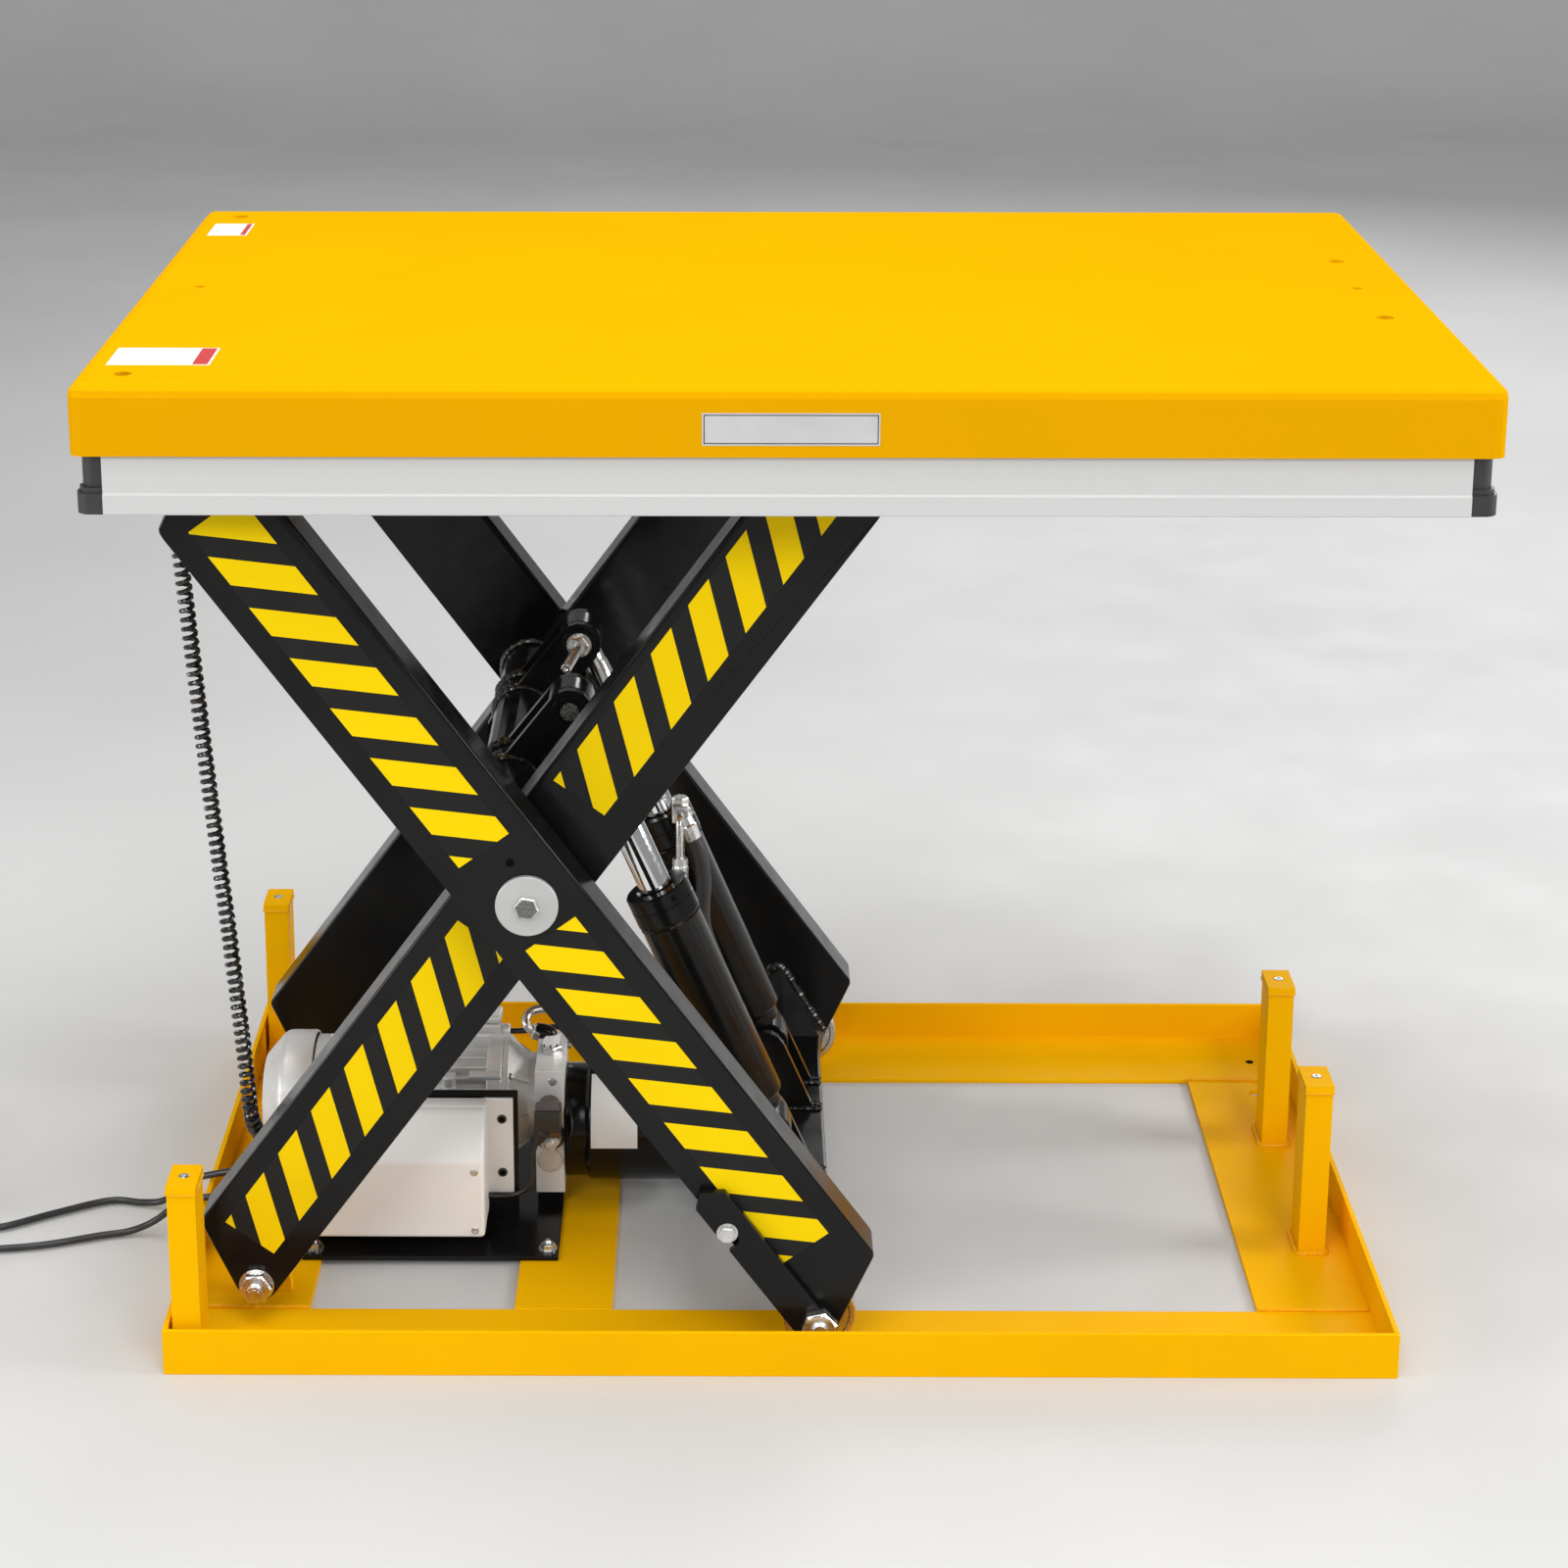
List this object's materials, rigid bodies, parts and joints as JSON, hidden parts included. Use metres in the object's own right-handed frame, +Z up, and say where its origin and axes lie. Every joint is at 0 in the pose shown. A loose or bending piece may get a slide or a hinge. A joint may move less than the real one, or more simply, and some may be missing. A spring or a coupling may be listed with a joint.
{
  "type": "scissor lift table",
  "caption": "Electric hydraulic scissor lift table, raised: plain deck with safety trip frame, crossed arms on rollers, twin cylinders and power pack on an open base frame.",
  "frame": {"origin": "centre of the underside of the base cross plate, on the floor plane", "axes": "+Z up; +X along the deck, away from the power pack end; -Y the front, where the maintenance prop hangs"},
  "size_m": [1.651, 0.85, 1.015],
  "materials": {
    "yellow_paint": "glossy golden yellow paint",
    "black_paint": "glossy black paint",
    "zinc_steel": "zinc plated steel",
    "chrome": "hard chrome, polished",
    "aluminium": "matt bare aluminium",
    "white_plastic": "light grey-white plastic",
    "black_plastic": "satin black plastic",
    "cable_rubber": "satin black cable sheath",
    "red_plastic": "glossy red plastic",
    "green_plastic": "glossy green plastic"
  },
  "bodies": {
    "base": {"base_cross_plate": "yellow_paint", "base_front_rail": "yellow_paint", "base_left_end": "yellow_paint", "base_pivot_bracket_front": "yellow_paint", "base_pivot_bracket_rear": "yellow_paint", "base_pivot_pin_front": "zinc_steel", "base_pivot_pin_rear": "zinc_steel", "base_rear_rail": "yellow_paint", "base_right_end": "yellow_paint", "bell_housing": "aluminium", "control_box": "white_plastic", "control_box_cover": "white_plastic", "curly_cord": "cable_rubber", "mains_cable": "cable_rubber", "mains_cable_coil": "cable_rubber", "mains_plug": "black_plastic", "motor_fan_cover": "aluminium", "motor_housing": "aluminium", "oil_tank": "black_paint", "pendant_cable": "cable_rubber", "pendant_cable_coil": "cable_rubber", "pendant_housing": "yellow_paint", "power_unit_plate": "black_paint", "solenoid_valve": "black_plastic", "support_post_front": "yellow_paint", "support_post_rear": "yellow_paint", "terminal_box": "aluminium", "valve_block": "aluminium"},
    "motor_rotor": {"motor_rotor": "zinc_steel"},
    "up_button": {"up_button": "green_plastic"},
    "down_button": {"down_button": "black_plastic"},
    "stop_button": {"stop_button": "red_plastic"},
    "inner_arms": {"inner_arm_front": "black_paint", "inner_arm_rear": "black_paint", "inner_cross_tube": "black_paint", "top_roller_shaft": "zinc_steel", "centre_pivot_pin_front": "zinc_steel", "centre_pivot_pin_rear": "zinc_steel"},
    "outer_arms": {"outer_arm_front": "black_paint", "outer_arm_rear": "black_paint", "outer_cross_beam": "black_paint", "bottom_roller_shaft": "zinc_steel"},
    "bottom_roller_front": {"bottom_roller_front": "zinc_steel"},
    "bottom_roller_rear": {"bottom_roller_rear": "zinc_steel"},
    "top_roller_front": {"top_roller_front": "zinc_steel"},
    "top_roller_rear": {"top_roller_rear": "zinc_steel"},
    "cylinder_barrels": {"cylinder_barrel_front": "black_paint", "cylinder_barrel_rear": "black_paint"},
    "cylinder_rods": {"cylinder_rod_front": "chrome", "cylinder_rod_rear": "chrome"},
    "safety_prop": {"safety_prop": "black_paint"},
    "table": {"table_top": "yellow_paint", "table_rail_front": "black_paint", "table_rail_rear": "black_paint", "table_pivot_pin_front": "zinc_steel", "table_pivot_pin_rear": "zinc_steel"},
    "trip_frame": {"trip_bar_front": "aluminium", "trip_bar_rear": "aluminium", "trip_bar_left": "aluminium", "trip_bar_right": "aluminium"}
  },
  "joints": [
    {"name": "lift", "type": "hinge", "parent": "base", "child": "inner_arms", "pos_m": [-0.31, 0, 0.0425], "axis": [0, 1, 0], "range_deg": [0, 50.2], "deforming": ["curly_cord"]},
    {"name": "scissor", "type": "hinge", "parent": "inner_arms", "child": "outer_arms", "pos_m": [-0.02545, 0, 0.48489], "axis": [0, 1, 0], "range_deg": [-100.4, 0]},
    {"name": "table_level", "type": "hinge", "parent": "outer_arms", "child": "table", "pos_m": [-0.31, 0, 0.92727], "axis": [0, 1, 0], "range_deg": [0, 50.2]},
    {"name": "cylinder_swing", "type": "hinge", "parent": "outer_arms", "child": "cylinder_barrels", "pos_m": [0.2096, 0, 0.132], "axis": [0, 1, 0], "range_deg": [0, 0.8321]},
    {"name": "cylinder_stroke", "type": "slide", "parent": "cylinder_barrels", "child": "cylinder_rods", "axis": [-0.3941, 0, 0.9191], "range_m": [-0.19039, 0]},
    {"name": "bottom_roller_spin_front", "type": "hinge", "parent": "outer_arms", "child": "bottom_roller_front", "pos_m": [0.2591, -0.33, 0.0425], "axis": [0, 1, 0], "continuous": true},
    {"name": "bottom_roller_spin_rear", "type": "hinge", "parent": "outer_arms", "child": "bottom_roller_rear", "pos_m": [0.2591, 0.33, 0.0425], "axis": [0, 1, 0], "continuous": true},
    {"name": "top_roller_spin_front", "type": "hinge", "parent": "inner_arms", "child": "top_roller_front", "pos_m": [0.2591, -0.221, 0.92727], "axis": [0, 1, 0], "continuous": true},
    {"name": "top_roller_spin_rear", "type": "hinge", "parent": "inner_arms", "child": "top_roller_rear", "pos_m": [0.2591, 0.221, 0.92727], "axis": [0, 1, 0], "continuous": true},
    {"name": "prop_swing", "type": "hinge", "parent": "outer_arms", "child": "safety_prop", "pos_m": [0.2591, -0.361, 0.0425], "axis": [0, 1, 0], "range_deg": [0, 122]},
    {"name": "trip_travel", "type": "slide", "parent": "table", "child": "trip_frame", "axis": [0, 0, 1], "range_m": [0, 0.012], "stiffness_N_per_m": 1500, "springref_m": -0.02},
    {"name": "motor_spin", "type": "hinge", "parent": "base", "child": "motor_rotor", "pos_m": [-0.18, 0, 0.112], "axis": [1, 0, 0], "continuous": true},
    {"name": "up_press", "type": "slide", "parent": "base", "child": "up_button", "axis": [0, 0, -1], "range_m": [0, 0.004], "stiffness_N_per_m": 600, "springref_m": -0.002},
    {"name": "down_press", "type": "slide", "parent": "base", "child": "down_button", "axis": [0, 0, -1], "range_m": [0, 0.004], "stiffness_N_per_m": 600, "springref_m": -0.002},
    {"name": "stop_press", "type": "slide", "parent": "base", "child": "stop_button", "axis": [0, 0, -1], "range_m": [0, 0.004], "stiffness_N_per_m": 900, "springref_m": -0.002}
  ],
  "couplings": [
    {"joint": "scissor", "follows": "lift", "ratio": -2},
    {"joint": "table_level", "follows": "lift", "ratio": 1},
    {"joint": "cylinder_swing", "follows": "lift", "ratio": 0.016565},
    {"joint": "cylinder_stroke", "follows": "lift", "m_per_rad": -0.21725}
  ]
}
